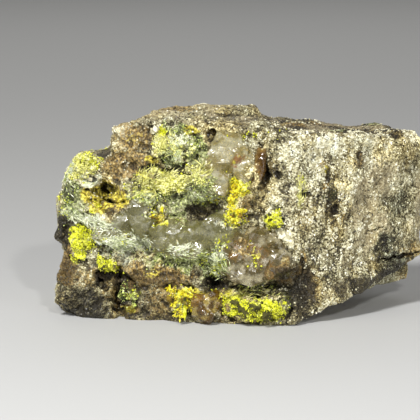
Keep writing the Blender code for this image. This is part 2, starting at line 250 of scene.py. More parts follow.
# %% Join what grows on the rock
CRUSTS = sorted(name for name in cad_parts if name.startswith("pottsite"))
SWELL, CRUST_BACK, AMBER_BACK = 0.3, 0.35, 0.9
rock = loose_copy("rock_matrix", "rock_skin")
swollen = []
for node_name in CRUSTS + ["amber_drop", "amber_blade"]:
    lump = loose_copy(node_name, f"{node_name} swollen")
    swell(lump, SWELL)
    apply_all(lump)
    back = CRUST_BACK if node_name in CRUSTS else AMBER_BACK
    bpy.ops.object.mode_set(mode="EDIT")
    bpy.ops.mesh.select_all(action="SELECT")
    bpy.ops.transform.translate(value=(0.0, back * MM, 0.0))
    bpy.ops.object.mode_set(mode="OBJECT")
    swollen.append(lump)
pick(rock, *swollen)
bpy.ops.object.join()
print("joined skin:", len(rock.data.polygons), "triangles")

# %% Relief groups
SKIN = 0.19
remesh(rock, SKIN)
apply_all(rock)


def point_rows(mesh, what):
    """A row of three numbers a point: what is co for its place or normal for its direction."""
    flat = np.empty(len(mesh.vertices) * 3)
    mesh.vertices.foreach_get(what, flat)
    return flat.reshape(-1, 3)


def coordinates(mesh):
    """The points' places in millimetres."""
    return point_rows(mesh, "co") / MM


def smoothstep(low, high, value):
    """0 at low, 1 at high and smooth between."""
    share = np.clip((value - low) / (high - low), 0.0, 1.0)
    return share * share * (3.0 - 2.0 * share)


def zone_mask(places, zones):
    """How deep each place lies in the zones: 0 outside, a zone's own strength at its middle."""
    x, z = places[:, 0], places[:, 2]
    total = np.zeros(len(places))
    for zone_x, zone_z, wide, tall, strength in zones:
        away = ((x - zone_x) / wide) ** 2 + ((z - zone_z) / tall) ** 2
        total = np.maximum(total, strength * np.exp(-(away**2) * 0.7))
    return total


def weigh(name, weights):
    """A vertex group of the rock, whose weights are rounded to tenths."""
    group = rock.vertex_groups.new(name=name)
    for level in range(1, 11):
        chosen = np.nonzero(np.round(weights * 10) == level)[0]
        if len(chosen):
            group.add(chosen.tolist(), level / 10.0, "REPLACE")


HONEYCOMB = [
    (-16.2, 14.8, 1.7, 1.7, 1), (-18.3, 15.2, 1.2, 0.9, 1), (-14.2, 14.5, 1.2, 1.6, 0.9),
    (-15.4, 4.8, 2.2, 1.3, 0.6), (-13.9, 3, 1.4, 1.9, 0.7), (5, 6.6, 2.4, 1.4, 0.5), (-2.8, 4.4, 2, 1.4, 0.6),
]
spots = coordinates(rock.data)
above_table = smoothstep(0.05, 0.7, spots[:, 2])
on_face = (1.0 - smoothstep(3.0, 9.0, spots[:, 0])) * (1.0 - smoothstep(1.5, 4.0, behind_side(spots)))
weigh("etched", on_face * above_table)
weigh("grainy", (1.0 - on_face) * above_table)
weigh("honeycomb", zone_mask(spots, HONEYCOMB) * on_face * above_table)
nearest = np.maximum(front_depth(spots[:, 0], spots[:, 2]), -10.0)
seen = 1.0 - smoothstep(2.0, 9.0, spots[:, 1] - nearest)
weigh("unseen", 1.0 - np.clip(seen + 0.5 * smoothstep(18.0, 21.0, spots[:, 2]), 0.0, 1.0))
print("rock skin:", len(spots), "points")

# %% Relief
bumps(rock, "CLOUDS", 1.7, 0.85, group="etched")
bumps(rock, "VORONOI", 1.2, -0.5, stretch=(1.2, 1.2, 0.8), group="etched")
bumps(rock, "CLOUDS", 0.55, 0.46, group="etched")
bumps(rock, "VORONOI", 0.85, -1.1, group="honeycomb", middle=0.15, weight_1=-1.0, weight_2=1.0)
bumps(rock, "CLOUDS", 2.6, 0.42, stretch=(0.8, 1.0, 1.3), group="grainy")
bumps(rock, "VORONOI", 0.5, -0.16, group="grainy", distance_metric="DISTANCE_SQUARED")
bumps(rock, "CLOUDS", 0.38, 0.16, group="grainy")
apply_all(rock)

# %% Small pits: x, z, half width, half height, depth
PITS = [
    (-15.8, 15.5, 1.15, 0.85, 2), (-15.9, 13.9, 1, 0.6, 1.9), (-17.6, 15.3, 0.34, 0.42, 0.9),
    (-18.5, 15.5, 0.36, 0.34, 0.8), (-18, 14.4, 0.28, 0.3, 0.7), (-17.4, 14.3, 0.24, 0.3, 0.6),
    (-14.6, 15, 0.34, 0.4, 0.9), (-13.9, 14.2, 0.34, 0.36, 0.8), (-14.8, 13.9, 0.28, 0.34, 0.6),
    (-16.4, 5.2, 1, 0.9, 2), (-14.4, 5.3, 1.1, 0.8, 2), (-14.3, 3, 0.7, 1.4, 1.9), (-10.3, 18.5, 0.8, 0.5, 0.9),
    (-9, 19.5, 0.5, 0.4, 0.8), (-7.3, 18.6, 0.9, 0.55, 0.8), (-6.4, 19.8, 0.22, 1, 0.8),
    (3.2, 18.6, 0.3, 1, 0.9), (14.5, 19.6, 0.5, 0.6, 0.35), (8, 15.7, 0.8, 0.4, 0.6),
    (7.5, 7.3, 0.16, 1.7, 0.5), (10.6, 17.6, 0.3, 1.1, 0.5), (11.6, 13.4, 0.5, 0.7, 0.6),
    (4.6, 18, 0.4, 0.5, 0.6), (20, 6.5, 2.8, 0.16, 0.9), (-20.9, 9.9, 0.5, 1.2, 0.6),
    (-2.6, 4.6, 0.9, 0.9, 0.7), (2, 4.4, 3.2, 0.4, 1.2), (17, 10.4, 1.2, 0.12, 0.5),
]
spots = coordinates(rock.data)
behind = behind_side(spots)
noise.seed_set(1)  # without a seed, noise_vector starts from the clock
wobble = 0.3 * np.array([noise.noise_vector(Vector(place) / 0.7) for place in spots])
deep = np.zeros(len(spots))
for pit_x, pit_z, wide, tall, depth in PITS:
    across_x = (spots[:, 0] + wobble[:, 0] - pit_x) / wide
    across_z = (spots[:, 2] + wobble[:, 2] - pit_z) / tall
    deep = np.maximum(deep, depth * np.exp(-((across_x**2 + across_z**2) ** 2)))
spots[:, 1] += deep * (1.0 - smoothstep(2.5, 4.5, behind))
rock.data.vertices.foreach_set("co", (spots * MM).ravel())
print("deepest pit", round(float(deep.max()), 1), "mm")

# %% Facets and the flat foot
ROCK_FACETS = 190000
thin_out(rock, ROCK_FACETS, "unseen")
facet_above(rock, 0.0)
print("rock facets:", len(rock.data.polygons))

# %% [markdown]
# ## Where the colours lie
# Collectors name a specimen's zones: here a mossy bloom, there rust, a dark corner that is partly painted
# shade, a pale sugary edge that is partly a painted highlight. Each zone is a soft ellipse on the side, with
# its edge broken up by noise. The zones are stored in the mesh as colour attributes, and the rock's finish
# reads them. So is the relief, how far a point stands proud of its neighbourhood: the finish paints shade into
# hollows and paints edges lighter. The dark zones also thin out the fibres, so their strength stays under 1.1.

# %% Zones: x, z, half width, half height, strength
BLOOM = [
    (-18.4, 18.9, 1.3, 1, 1), (-19.6, 19.6, 2.6, 0.8, 0.8), (-19.6, 17.1, 1.5, 0.9, 0.7),
    (-21.2, 13.2, 0.9, 1.3, 0.5), (-17.6, 13.3, 1, 0.5, 0.5), (-19.1, 9.4, 1.3, 1.9, 1),
    (-19.7, 7.8, 0.8, 0.8, 0.75), (-16.1, 6.6, 1, 0.8, 0.85), (-15.2, 6, 0.8, 0.5, 0.6),
    (-12.8, 3.4, 0.6, 0.9, 0.7), (-6.6, 3, 1.3, 1.4, 0.9), (2.2, 1.9, 3.6, 1.3, 1), (-0.4, 2.9, 1.4, 1, 1),
    (-0.2, 16.8, 1.1, 1.2, 1), (-1, 15.2, 0.9, 1, 0.8), (-0.5, 13.4, 1.2, 1.2, 1), (4.2, 12.7, 0.9, 0.9, 0.8),
    (-9.3, 12, 0.9, 0.7, 0.6), (-9, 16.8, 3, 1.1, 1), (-5.2, 17.9, 2.2, 0.9, 0.55), (-9.3, 22.9, 0.5, 0.45, 1),
    (-9.3, 21.4, 1, 1.3, 0.7), (-7.6, 21.2, 1, 1.3, 0.6), (-12.6, 15.9, 1.2, 0.8, 0.45),
    (-10.6, 14.4, 2.2, 0.8, 0.3), (-15.4, 10.2, 2.4, 0.5, 0.45), (-11.6, 8.6, 2.2, 0.5, 0.4),
    (-3, 7.6, 1.5, 1.7, 0.45), (-3, 15, 1.6, 0.8, 0.4), (7.2, 17, 0.6, 1.8, 0.45), (1.8, 22.6, 3.2, 0.5, 0.3),
    (1.6, 8.6, 0.5, 1.4, 0.55), (-2.5, 3.2, 0.7, 0.6, 0.5), (-1.8, 9.9, 0.6, 0.9, 0.4),
    (-17.6, 8.4, 1, 0.6, 0.4),
]
MOSS = [
    (-20.5, 15, 1.5, 1, 1), (-20.2, 13.4, 2, 2.4, 0.55), (-21, 18.8, 1.4, 1.3, 0.8), (-20, 18, 0.9, 0.7, 0.55),
    (-21.6, 16, 0.9, 2.2, 0.7), (-18.6, 11.6, 1.8, 1, 0.65), (-5.3, 20.7, 1.2, 2, 1), (-7.3, 23.1, 2, 0.7, 1),
    (-8.2, 20.2, 1.8, 1.8, 0.7), (-10, 15.3, 3.4, 0.9, 1), (-6, 14.9, 3.4, 1.2, 0.9), (-4.2, 17, 2, 1.6, 0.8),
    (-10.4, 13.6, 1.6, 0.9, 0.6), (-7.4, 13.2, 1.2, 1, 0.7), (-14.4, 8.6, 3.4, 1.1, 0.35),
    (-16.8, 11.8, 2, 1.2, 0.5), (-8, 7.3, 3.8, 1, 0.9), (-3.3, 7.1, 1.8, 2.1, 0.9), (-2, 13, 1.1, 0.8, 0.5),
    (2, 4.6, 3, 0.6, 0.7), (5.6, 2.8, 0.8, 1.2, 0.5), (-7.2, 1.6, 0.7, 0.9, 0.8), (-2.9, 9.9, 1.2, 1.2, 0.6),
    (11.2, 15.2, 0.9, 1, 0.5),
]
RUST = [
    (-13, 22, 2.8, 1.7, 0.8), (-13.6, 18.7, 3, 1.8, 0.9), (-16, 15.2, 1.5, 1.8, 0.9),
    (-14.2, 14.5, 1.2, 1.4, 1), (-11.6, 17.7, 1.2, 0.9, 0.7), (-0.5, 20, 0.8, 1, 0.9),
    (0.8, 14.2, 0.6, 1.7, 0.8), (0.6, 9.2, 2, 1.6, 0.85), (2.8, 8.8, 1.6, 2, 0.6), (5.2, 6.6, 2.5, 1.5, 1),
    (7.5, 7.3, 0.35, 1.9, 0.9), (-11.5, 5.6, 6.2, 1.4, 0.95), (-20.9, 6.8, 1.3, 2.6, 0.95),
    (-13.3, 1.3, 1.2, 0.8, 0.9), (-15, 2.6, 1, 1.8, 0.9), (-5.2, 3.2, 1.3, 1.3, 0.9),
    (-2.2, 2.4, 0.8, 1.8, 0.9), (-9.6, 2.6, 2.4, 2.2, 0.6), (14.5, 19.6, 0.7, 0.8, 0.7),
    (10.3, 17.9, 0.4, 1.8, 0.9), (3, 17, 0.7, 1.1, 0.6), (-18.4, 5, 2.6, 1.4, 0.55), (21.6, 7, 1.4, 1.8, 0.6),
    (8.6, 4.6, 1.8, 2.2, 0.5), (1, 22.9, 4.6, 0.6, 0.35), (12.9, 12.2, 0.5, 1.4, 0.5),
]
# Dark zones are partly dark rock and partly painted shade: under the quartz overhang, along the low band, at
# the bottom left and on the lower flank.
DARK_AND_SHADE = [
    (-16.4, 5, 1.2, 1.2, 1.05), (-14.4, 5.2, 1.3, 1, 1.05), (-14.2, 2.9, 0.9, 1.7, 1.05),
    (-18.9, 2.2, 3.4, 1.9, 0.74), (-19.4, 0.6, 3.4, 0.7, 0.7), (-22.3, 9.8, 1.2, 2, 1.05),
    (7.6, 6.2, 1.6, 0.9, 0.7), (-12.4, 3.5, 1.3, 1.2, 0.55), (-20.8, 6.4, 1.4, 2.6, 0.75),
    (-13, 2.2, 1.4, 1.8, 0.6), (5.8, 6.6, 2.4, 1.4, 0.95), (9, 9.5, 4, 5, 0.34), (-21.8, 11.1, 1.2, 1.9, 1),
    (-15.8, 15.4, 0.9, 0.7, 0.85), (-15.9, 13.9, 0.7, 0.5, 0.85), (-10.2, 18.5, 0.9, 0.6, 0.95),
    (-9, 19.5, 0.7, 0.5, 0.95), (-7.3, 18.6, 1.2, 0.7, 1), (-6.4, 19.8, 0.3, 1.1, 0.8),
    (-3.2, 22.2, 0.8, 0.7, 0.55), (-4.3, 12.8, 2.8, 1, 0.7), (-2.6, 4.6, 1.4, 1.3, 1), (2, 4.5, 3.6, 0.6, 1),
    (5, 5.6, 2.2, 1, 0.75), (7.4, 3.8, 2.1, 2.9, 0.95), (4.5, 18.7, 1.7, 1.5, 0.6), (8.1, 15.8, 1, 0.6, 0.7),
    (11.2, 14.4, 1.2, 2.6, 0.75), (14.5, 19.6, 0.5, 0.7, 0.8), (19.9, 13.3, 1.5, 1.7, 0.34),
    (17.7, 8.2, 1.4, 1.4, 0.85), (21.5, 18, 0.9, 2, 0.1), (-11.5, 5, 6.4, 1.2, 0.7),
    (-9.6, 1.8, 4.6, 1.4, 0.55), (3.2, 18.7, 0.4, 1, 0.9), (20, 6.5, 2.8, 0.2, 1), (15.4, 3.6, 3.6, 1.6, 0.85),
    (20, 4.4, 3.3, 1.8, 1), (-20.6, 15.1, 1.2, 0.9, 1), (-1.9, 10.9, 0.5, 0.5, 0.7), (1.7, 7.6, 0.5, 0.9, 0.5),
]
# Pale zones are partly pale grains and partly a painted highlight along the top edge and corners of the
# granular end.
PALE_AND_HIGHLIGHT = [
    (10.7, 21.8, 2, 1.3, 1.2), (9.4, 20, 1.2, 1, 0.6), (15.5, 21.7, 3.4, 0.8, 0.8), (22.4, 21.4, 1.7, 1, 1.5),
    (8.6, 18.4, 2.2, 1.8, 0.4), (8.6, 11, 2.4, 2.6, 0.15), (5.2, 10.5, 1.1, 1.1, 1.2),
    (13.2, 17.6, 1.5, 2.2, 0.5), (-9.7, 23.2, 0.7, 0.5, 1), (-18, 16.9, 0.9, 0.7, 0.8),
    (6.5, 20.6, 1.8, 0.9, 0.5), (1.2, 19.8, 1, 2.2, 0.7), (17.2, 19.6, 1.8, 1.6, 0.5),
    (19.8, 16.6, 1.8, 2, 0.35), (-14.6, 22.9, 1.4, 0.5, 0.6),
]
TAN = [
    (15.4, 13, 1.8, 6.2, 1), (17.6, 16.8, 2.2, 2.6, 0.9), (16.4, 3.8, 3.2, 1.5, 0.6), (19.8, 5, 2.6, 0.9, 0.5),
    (13.2, 8, 1.1, 3.2, 0.6), (22.6, 11.5, 0.9, 5.6, 0.8), (17.2, 11, 1.4, 1.5, 0.9), (12.2, 3.8, 2, 1.4, 0.5),
    (-13, 23, 2.4, 0.6, 0.6), (6, 14.6, 0.8, 1.4, 0.45), (8.4, 8.4, 0.6, 2.4, 0.45),
]
GILT = [
    (-18.1, 15, 1.2, 1, 1.3), (-17.2, 13.8, 1.1, 0.7, 1.2), (-16, 15.3, 1.6, 1.5, 0.75),
    (-14.2, 14.6, 1, 1.1, 0.75), (-5.7, 23.2, 1.1, 0.5, 1), (-10.5, 19.4, 0.7, 0.6, 1),
    (3.7, 11, 0.6, 0.9, 0.9), (-11.6, 17.8, 0.7, 0.6, 0.7), (-13.3, 1.3, 0.9, 0.6, 0.8),
    (-5, 3.4, 0.9, 0.9, 0.9), (1.9, 9.2, 0.5, 1.5, 0.6), (10.3, 18.4, 0.4, 0.8, 0.6),
    (-0.8, 19.6, 0.7, 1.5, 0.8), (-3, 20.3, 1.1, 1, 0.5), (-10.6, 5.9, 1.4, 0.7, 0.5),
    (5.4, 6.2, 1.2, 0.6, 0.5), (-1.2, 3.7, 0.5, 0.7, 0.7), (-2.2, 18.6, 0.5, 1, 0.5),
    (-12.6, 22, 1.6, 0.8, 0.3), (-9.3, 12.2, 1.2, 1, 0.7),
]
FROST = [
    (-18, 16.9, 1.2, 0.8, 1), (-13.8, 9.4, 3.4, 1.1, 1), (-15, 7.8, 2.4, 0.7, 0.6), (-6.9, 9.3, 1.6, 0.7, 0.7),
    (-20.6, 12.6, 1.6, 1, 0.8), (-2.6, 8.4, 1.3, 1, 0.8), (-21.2, 16.9, 0.9, 1, 0.7),
    (-8.2, 20.4, 1.3, 1.2, 0.7), (-17.6, 11.9, 2, 0.8, 0.8), (-20.9, 18.6, 1.5, 1.3, 0.8),
    (-4.4, 15.2, 1.6, 0.7, 0.6), (-11, 9, 1.4, 0.7, 0.6), (-7.4, 21.8, 0.8, 0.8, 0.6),
    (-1.8, 12, 1.4, 0.7, 0.6), (7.3, 15.6, 0.6, 1.4, 0.5), (-3, 5.9, 1, 0.7, 0.5),
]
COVERED = [
    (-14.7, 13.9, 1.6, 1.2, 1), (-16.8, 13, 1.2, 1, 1), (0.4, 9.6, 1, 1, 0.5), (5, 7.2, 1, 1, 0.8),
    (2, 16.3, 0.9, 0.9, 1), (1.7, 18.3, 0.35, 1.6, 0.9),
]

# %% Masks from the zones
def speckle(places, scale, seed):
    """Smooth noise from about -1 to 1 at each place, in lumps of size scale."""
    offset = Vector((seed * 7.1, seed * 3.7, -seed * 5.3))
    return np.array([noise.noise(Vector(place) / scale + offset) for place in places])


def neighbour_mean(mesh, values, rounds):
    """Values averaged with those of the neighbouring points, rounds times over."""
    ends = np.empty(len(mesh.edges) * 2, dtype=np.int64)
    mesh.edges.foreach_get("vertices", ends)
    first, second = ends[0::2], ends[1::2]
    count = np.maximum(np.bincount(ends, minlength=len(values)), 1).astype(float)
    mean = values.copy()
    for _ in range(rounds):
        total = np.stack([
            np.bincount(first, weights=mean[second, k], minlength=len(mean))
            + np.bincount(second, weights=mean[first, k], minlength=len(mean))
            for k in range(mean.shape[1])
        ], axis=1)
        mean = 0.5 * mean + 0.5 * total / count[:, None]
    return mean


def proud_of(mesh, places, rounds):
    """How far each point stands out of its neighbourhood, which grows with rounds."""
    return np.einsum("ij,ij->i", places - neighbour_mean(mesh, places, rounds), point_rows(mesh, "normal"))


# Rounds of averaging for the near and the far neighbourhood, and how many millimetres count as proud or sunk.
NEAR, FAR = 14, 60
RELIEF_SCALE, HOLLOW = 0.12, 0.5


def relief(proud):
    """0 in hollows, 1 on edges, from how far a point stands proud."""
    return 0.5 + 0.5 * proud / RELIEF_SCALE


LAYERS = {
    "coats": ("bloom", "moss", "rust"), "tones": ("dark", "pale", "tan"),
    "shape": ("lie", "sunk", "upward"), "stains": ("gilt", "frost"),
}
# Away from the side each mask is noise: its share, where it starts and fills, and the size of its lumps.
ELSEWHERE = {
    "bloom": (BLOOM, 0.2, 0.28, 0.6, 3.4), "moss": (MOSS, 0.5, 0.2, 0.5, 4.0),
    "rust": (RUST, 0.6, 0.1, 0.5, 4.6), "dark": (DARK_AND_SHADE, 0.45, 0.05, 0.5, 3.0),
    "pale": (PALE_AND_HIGHLIGHT, 0.35, 0.1, 0.5, 2.6), "tan": (TAN, 0.6, -0.2, 0.4, 5.0),
}


def paint(mesh):
    """Works out the masks for a mesh, stores them in it and returns them."""
    places = coordinates(mesh)
    drift = np.stack([speckle(places, 1.6, seed) for seed in (1, 2, 3)], axis=1)
    tremor = np.stack([speckle(places, 0.5, seed) for seed in (4, 5, 6)], axis=1)
    ragged = places + 1.0 * drift + 0.4 * tremor
    shoulder = smoothstep(-15.0, -17.5, places[:, 0]) * smoothstep(9.0, 11.0, places[:, 2])
    facing = 1.0 - smoothstep(2.0 + 2.5 * shoulder, 4.5 + 4.0 * shoulder, behind_side(places))
    upward = smoothstep(0.45, 0.8, point_rows(mesh, "normal")[:, 2]) * smoothstep(17.0, 20.0, places[:, 2])
    to_right = smoothstep(-4.0, 12.0, places[:, 0])
    # Painted shade: the dark mask grows towards the bottom edge, next to the table.
    low_edge_shade = 1.0 - smoothstep(0.2, 1.5, ragged[:, 2])
    masks = {}
    for number, (key, (zones, share, low, high, lump)) in enumerate(ELSEWHERE.items()):
        masks[key] = zone_mask(ragged, zones) * facing + (0.5 * low_edge_shade if key == "dark" else 0.0)
        masks[key] += share * (1.0 - facing) * smoothstep(low, high, speckle(places, lump, 11 + number))
    masks["tan"] += 0.5 * upward * (1.0 - 0.6 * to_right)
    masks["gilt"] = zone_mask(places + 0.5 * drift, GILT) * facing
    masks["frost"] = zone_mask(ragged, FROST) * facing
    masks["lie"] = np.clip(relief(proud_of(mesh, places, NEAR)), 0.0, 1.0)
    masks["sunk"] = np.clip(-proud_of(mesh, places, FAR) / HOLLOW, 0.0, 1.0) * (0.4 + 0.6 * facing)
    masks["upward"] = upward * (0.2 + 0.8 * to_right)
    masks["covered"] = zone_mask(ragged, COVERED)
    masks["facing"] = facing
    for layer_name, keys in LAYERS.items():
        layer = mesh.color_attributes.new(layer_name, "FLOAT_COLOR", "POINT")
        values = np.ones((len(places), 4), dtype=np.float32)
        for k, key in enumerate(keys):
            values[:, k] = masks[key]
        layer.data.foreach_set("color", values.ravel())
    return masks


rock_masks = paint(rock.data)
print("share of the skin under bloom:", round(float((rock_masks["bloom"] > 0.5).mean()), 3))

# %% [markdown]
# ## The rock's finish
# Seen close, the rock is a mass of grains a few tenths of a millimetre wide: black mica, grey quartz, tan and
# white feldspar. A Voronoi texture splits space into such cells, and a colour ramp turns each cell's own number
# into its mineral. Each cell's surface is also tilted its own way through the bump, so that single grains
# glint.
# The tone also holds painted light and shade: lighter on edges and in the pale zones, which are partly a
# painted highlight, and darker in hollows and on faces that look up near the top. Over that go the coats, each
# broken up by
# noise: sand, moss green, rust, gold, frost and yellow bloom, then a dark coat that is partly dark rock and
# partly painted shade, and painted shade in hollows and pits.

# %% Node helpers
def node(kind, inputs=None, **settings):
    """A new node in the newest finish, with its settings and its inputs, linked or plain."""
    made = set_up(tree.nodes.new("ShaderNode" + kind), settings)
    for key, value in (inputs or {}).items():
        if isinstance(value, bpy.types.NodeSocket):
            tree.links.new(value, made.inputs[key])
        else:
            made.inputs[key].default_value = value
    return made


def times(first, second, plus=0.0):
    """first times second, plus a third."""
    return node("Math", {0: first, 1: second, 2: plus}, operation="MULTIPLY_ADD").outputs[0]


def swing(value):
    """A value round a half, moved down to lie round zero."""
    return node("Math", {0: value, 1: 0.5}, operation="SUBTRACT").outputs[0]


def vectors(operation, first, second, output=0):
    return node("VectorMath", {0: first, 1: second}, operation=operation).outputs[output]


def blend(share, first, second):
    """One colour over another. share is how much of the second shows."""
    inputs = {0: share, 6: first, 7: second}
    return node("Mix", inputs, data_type="RGBA", clamp_factor=True).outputs[2]


def ramp(share, stops):
    """A colour ramp. stops are (place, colour)."""
    made = node("ValToRGB", {0: share})
    elements = made.color_ramp.elements
    while len(elements) < len(stops):
        elements.new(0.5)
    for element, (place, colour) in zip(elements, stops):
        element.position = place
        element.color = (*colour, 1.0)
    return made.outputs[0]


def between(value, low, high, floor=0.0, ceiling=1.0):
    """floor below low, ceiling above high and smooth between."""
    inputs = {0: value, 1: low, 2: high, 3: floor, 4: ceiling}
    return node("MapRange", inputs, interpolation_type="SMOOTHSTEP").outputs[0]


def millimetres():
    """Object coordinates in millimetres."""
    place = node("TexCoord").outputs["Object"]
    return node("Mapping", {"Vector": place, "Scale": (1 / MM, 1 / MM, 1 / MM)}).outputs[0]


def cloud(place, scale, detail=3.0, output="Fac"):
    return node("TexNoise", {"Vector": place, "Scale": scale, "Detail": detail}).outputs[output]


def cells(place, scale):
    """Voronoi cells: the outputs are Distance, Color and Position."""
    return node("TexVoronoi", {"Vector": place, "Scale": scale}).outputs


def channel(colour, which=0):
    return node("SeparateColor", {0: colour}).outputs[which]


def stored(name, output="Color"):
    return node("Attribute", attribute_name=name).outputs[output]


def tilted(place, cell, share):
    """Height in millimetres of cells that are each tilted their own way."""
    way = vectors("SUBTRACT", cell["Color"], (0.5, 0.5, 0.5))
    off = vectors("SUBTRACT", place, cell["Position"])
    return times(vectors("DOT_PRODUCT", way, off, "Value"), share)


def wear(colour, roughness, height, depth, strength):
    """Gives the newest finish its colour, its roughness and a bump whose depth is in millimetres."""
    bump = node("Bump", {"Height": height, "Distance": depth * MM, "Strength": strength})
    for key, value in {"Base Color": colour, "Roughness": roughness, "Normal": bump.outputs[0]}.items():
        tree.links.new(value, shader[key])


# %% Grains
rock_finish = new_finish("granular rock", {"Specular IOR Level": 0.35})
place = millimetres()
drift = vectors("SUBTRACT", cloud(place, 0.9, 2.0, "Color"), (0.5, 0.5, 0.5))
bent = vectors("ADD", place, vectors("MULTIPLY", drift, (0.45, 0.45, 0.45)))
streaked = vectors("MULTIPLY", bent, (1.0, 1.0, 0.62))
coarse, fine = cells(streaked, 2.7), cells(bent, 7.2)
mask = {key: channel(stored(layer), k) for layer, keys in LAYERS.items() for k, key in enumerate(keys)}
tone = times(channel(coarse["Color"]), 0.3)
lumpy = swing(cloud(streaked, 0.55, 4.0))
# Painted light and shade in the tone: edges lighter and hollows darker by the relief, and faces that look up
# near the top darker.
for value, weight in (
    (channel(fine["Color"]), 0.62), (swing(mask["lie"]), 0.25), (mask["pale"], 0.42),
    (mask["dark"], -0.34), (mask["upward"], -0.5), (lumpy, 0.85),
):
    tone = times(value, weight, tone)
colour = ramp(tone, [
    (0.0, (0.012, 0.009, 0.005)), (0.16, (0.05, 0.038, 0.017)), (0.32, (0.15, 0.12, 0.06)),
    (0.54, (0.32, 0.285, 0.17)), (0.74, (0.6, 0.56, 0.39)), (0.92, (0.95, 0.93, 0.81)),
])
warm = ramp(cloud(streaked, 0.28, 3.0), [
    (0.38, (0.97, 1.0, 0.95)), (0.5, (1.0, 1.0, 0.87)), (0.62, (1.1, 1.01, 0.7)),
])
colour = vectors("MULTIPLY", colour, warm)
to_right = node("SeparateXYZ", {0: place}).outputs[0]
slate = times(between(to_right, 14.0, 17.0), between(mask["dark"], 0.15, 0.45))
colour = blend(slate, colour, vectors("MULTIPLY", colour, (0.86, 0.95, 1.06)))

# %% Coats over the grains: mask, noise, where the coat starts and fills, ragged edge, share, colours
small, tiny = cloud(place, 3.2, 4.0), cloud(place, 7.5, 3.0)


def coat(strength, low, high, edge=1.1):
    """Where a coat shows: its mask, with an edge that noise breaks up."""
    broken = times(swing(small), edge, strength)
    return between(times(swing(tiny), edge, broken), low, high)


COATS = [
    ("tan", small, 0.3, 0.9, 1.1, 0.62, [
        (0.3, (0.24, 0.18, 0.085)), (0.5, (0.44, 0.36, 0.2)), (0.7, (0.68, 0.6, 0.39)),
    ]),
    ("moss", small, 0.25, 0.75, 1.1, 0.85, [
        (0.34, (0.025, 0.036, 0.01)), (0.45, (0.115, 0.135, 0.04)), (0.55, (0.35, 0.39, 0.15)),
        (0.68, (0.76, 0.79, 0.46)),
    ]),
    ("rust", small, 0.3, 0.8, 1.1, 0.78, [
        (0.32, (0.018, 0.01, 0.003)), (0.44, (0.1, 0.056, 0.014)), (0.54, (0.29, 0.18, 0.045)),
        (0.68, (0.62, 0.45, 0.16)),
    ]),
    ("gilt", small, 0.3, 0.7, 1.1, 0.9, [
        (0.36, (0.13, 0.08, 0.005)), (0.5, (0.54, 0.44, 0.03)), (0.64, (0.9, 0.82, 0.15)),
    ]),
    ("frost", tiny, 0.35, 0.8, 1.1, 0.75, [
        (0.36, (0.2, 0.24, 0.14)), (0.5, (0.63, 0.68, 0.48)), (0.64, (0.92, 0.94, 0.8)),
    ]),
    ("bloom", small, 0.45, 0.85, 1.3, 1.0, [
        (0.3, (0.09, 0.1, 0.008)), (0.43, (0.34, 0.35, 0.02)), (0.55, (0.7, 0.7, 0.06)),
        (0.7, (0.9, 0.9, 0.34)),
    ]),
]
for key, grain, low, high, edge, share, stops in COATS:
    colour = blend(times(coat(mask[key], low, high, edge), share), colour, ramp(grain, stops))
# Darkening over the coats: the dark zones, partly dark rock and partly painted shade, then painted shade in
# hollows by the near relief and in deeper hollows by the far relief.
for shows, dark_and_shade in (
    (times(coat(mask["dark"], 0.45, 1.0), 0.88), (0.012, 0.01, 0.006, 1.0)),
    (times(between(mask["lie"], 0.45, 0.05), 0.6), (0.022, 0.018, 0.009, 1.0)),
    (times(mask["sunk"], 0.65), (0.016, 0.012, 0.006, 1.0)),
):
    colour = blend(shows, colour, dark_and_shade)
gloss = times(between(channel(fine["Color"], 1), 0.0, 1.0, 0.2, 0.85), between(slate, 0.0, 1.0, 1.0, 0.4))
height = times(tilted(bent, fine, 0.8), 1.0, tilted(streaked, coarse, 0.4))
wear(colour, gloss, times(tiny, 0.06, height), 1.0, 0.9)
rock.data.materials.append(rock_finish)
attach(rock, "root")
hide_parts("rock_matrix")
print("rock finish:", len(tree.nodes), "nodes")

# %% [markdown]
# ## Small shapes that repeat
# Everything that grows or lies on the rock by the thousand is one of four small shapes: a pottsite crystal, a
# hair-thin splinter, a cleaved feldspar chip and a mica flake. Each is modelled once and then copied.

# %% Templates
def from_lowest(ring):
    """A face's point numbers, starting from the lowest."""
    first = ring.index(min(ring))
    return ring[first:] + ring[:first]


def keep(obj, name):
    """Leaves edit mode, takes a template's points and faces in a fixed order, and removes its object."""
    bpy.ops.object.mode_set(mode="OBJECT")
    points = coordinates(obj.data)
    faces = sorted(from_lowest(tuple(polygon.vertices)) for polygon in obj.data.polygons)
    bpy.data.objects.remove(obj)
    print(name, len(faces), "faces")
    return points, faces


def start_from(add, **settings):
    """A primitive in edit mode, with only the faces that look up selected."""
    obj = new_object(add, **settings)
    bpy.ops.object.mode_set(mode="EDIT")
    bpy.ops.mesh.select_mode(type="FACE")
    bpy.ops.mesh.select_all(action="DESELECT")
    shape = bmesh.from_edit_mesh(obj.data)
    for face in shape.faces:
        face.select_set(face.normal.z > 0.9)
    bmesh.update_edit_mesh(obj.data)
    return obj


def spire(name, sides, radius, length, tip):
    """A prism with a pyramid on its end, which stands on its root. Sizes in millimetres."""
    add = bpy.ops.mesh.primitive_cylinder_add
    obj = start_from(add, vertices=sides, radius=radius * MM, depth=length * MM)
    bpy.ops.mesh.extrude_region_move(TRANSFORM_OT_translate={"value": (0.0, 0.0, tip * MM)})
    bpy.ops.mesh.merge(type="CENTER")
    bpy.ops.mesh.select_all(action="SELECT")
    bpy.ops.transform.translate(value=(0.0, 0.0, 0.3 * length * MM))
    return keep(obj, name)


